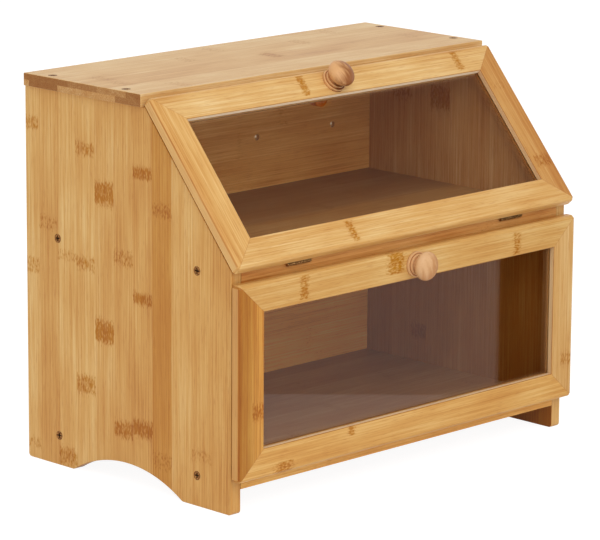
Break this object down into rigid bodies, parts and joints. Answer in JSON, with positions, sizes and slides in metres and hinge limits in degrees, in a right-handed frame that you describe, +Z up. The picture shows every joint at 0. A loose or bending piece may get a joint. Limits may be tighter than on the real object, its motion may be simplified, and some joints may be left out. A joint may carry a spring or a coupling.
{
  "type": "bread box",
  "caption": "Laminated bamboo bread box with a sloping upper door and an upright lower door, both framing clear panes and turning down on hinges.",
  "frame": {"origin": "on the surface the box stands on, in the middle of its width and of its full depth, knobs included", "axes": "+Z up, -Y the front that opens, +X to the right of someone facing the front"},
  "size_m": [0.38, 0.2598, 0.315],
  "materials": {
    "bamboo": "satin clear coat over laminated bamboo",
    "knob_wood": "satin turned wood",
    "clear_acrylic": "polished clear acrylic sheet",
    "dark_screws": "dark bronze",
    "hinge_metal": "dark bronze",
    "catch_plastic": "moulded brown plastic",
    "magnet": "plated"
  },
  "bodies": {
    "carcass": {"bottom_board": "bamboo", "left_side_panel": "bamboo", "left_side_screws": "dark_screws", "lower_back_panel": "bamboo", "lower_catch_body": "catch_plastic", "lower_catch_magnet": "magnet", "lower_catch_screw": "dark_screws", "lower_hinge_box_screws": "dark_screws", "lower_left_hinge_box_leaf": "hinge_metal", "lower_left_hinge_pin": "hinge_metal", "lower_right_hinge_box_leaf": "hinge_metal", "lower_right_hinge_pin": "hinge_metal", "middle_shelf": "bamboo", "right_side_panel": "bamboo", "right_side_screws": "dark_screws", "top_board": "bamboo", "top_board_screws": "dark_screws", "upper_back_panel": "bamboo", "upper_catch_body": "catch_plastic", "upper_catch_magnet": "magnet", "upper_catch_screw": "dark_screws", "upper_hinge_box_screws": "dark_screws", "upper_left_hinge_box_leaf": "hinge_metal", "upper_left_hinge_pin": "hinge_metal", "upper_right_hinge_box_leaf": "hinge_metal", "upper_right_hinge_pin": "hinge_metal"},
    "upper_door": {"upper_bottom_rail": "bamboo", "upper_hinge_door_screws": "dark_screws", "upper_knob": "knob_wood", "upper_knob_screw": "dark_screws", "upper_left_hinge_door_leaf": "hinge_metal", "upper_left_stile": "bamboo", "upper_right_hinge_door_leaf": "hinge_metal", "upper_right_stile": "bamboo", "upper_top_rail": "bamboo", "upper_window_pane": "clear_acrylic"},
    "lower_door": {"lower_bottom_rail": "bamboo", "lower_hinge_door_screws": "dark_screws", "lower_knob": "knob_wood", "lower_knob_screw": "dark_screws", "lower_left_hinge_door_leaf": "hinge_metal", "lower_left_stile": "bamboo", "lower_right_hinge_door_leaf": "hinge_metal", "lower_right_stile": "bamboo", "lower_top_rail": "bamboo", "lower_window_pane": "clear_acrylic"}
  },
  "joints": [
    {"name": "upper_door_hinge", "type": "hinge", "parent": "carcass", "child": "upper_door", "pos_m": [0, -0.10328, 0.18448], "axis": [1, 0, 0], "range_deg": [0, 86]},
    {"name": "lower_door_hinge", "type": "hinge", "parent": "carcass", "child": "lower_door", "pos_m": [0, -0.1025, 0.027], "axis": [1, 0, 0], "range_deg": [0, 89]}
  ]
}
